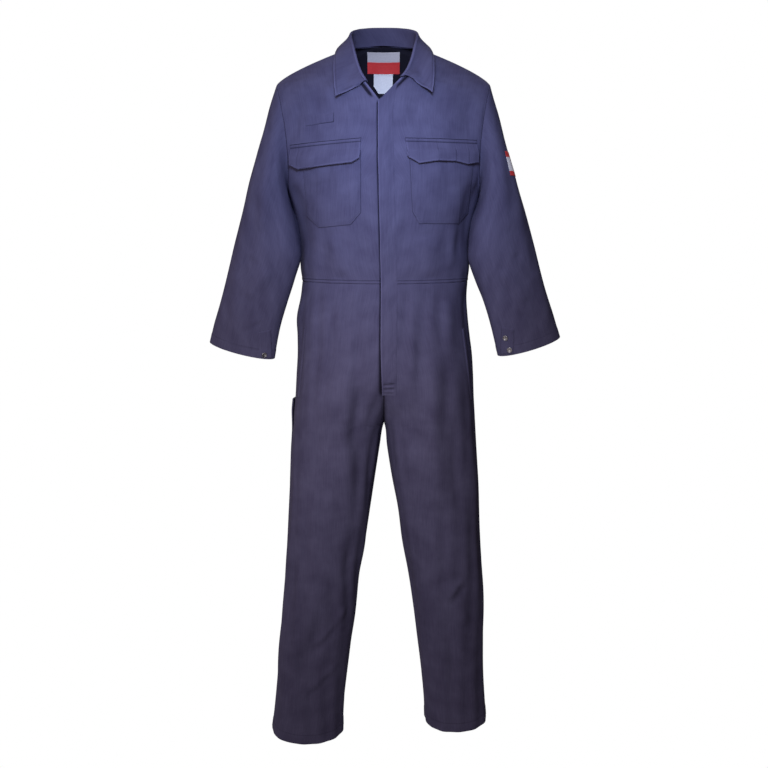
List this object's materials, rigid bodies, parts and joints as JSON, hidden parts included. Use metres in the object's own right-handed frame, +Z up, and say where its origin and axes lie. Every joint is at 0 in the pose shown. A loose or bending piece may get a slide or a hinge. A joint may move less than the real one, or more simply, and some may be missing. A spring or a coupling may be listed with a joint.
{
  "type": "boiler suit",
  "caption": "Navy cotton boiler suit, worn and hollow, with a fold-down collar, front placket, flap pockets and open cuffs and hems.",
  "frame": {"origin": "between the wearer's shoulders at the base of the neck, where the wearer carries the suit", "axes": "+X to the wearer's left, -Y the way the wearer faces, +Z up"},
  "size_m": [0.82, 0.292, 1.7015],
  "materials": {
    "cotton": "matt twill",
    "label_red": "woven",
    "label_white": "woven",
    "stud": "dark satin"
  },
  "bodies": {
    "root": {"front_right": "cotton", "front_left": "cotton", "back": "cotton", "sleeve_right": "cotton", "sleeve_left": "cotton", "leg_front_right": "cotton", "leg_front_left": "cotton", "leg_back_right": "cotton", "leg_back_left": "cotton", "collar": "cotton", "placket": "cotton", "pocket_right": "cotton", "pocket_left": "cotton", "flap_right": "cotton", "flap_left": "cotton", "chest_tab": "cotton", "hip_welt_right": "cotton", "hip_welt_left": "cotton", "rule_pocket": "cotton", "cuff_lap_right": "cotton", "cuff_lap_left": "cotton", "neck_label": "label_red", "care_label": "label_white", "sleeve_label": "label_white", "cuff_stud_right": "stud", "cuff_stud_left": "stud", "cuff_stud_left_2": "stud"}
  },
  "joints": []
}
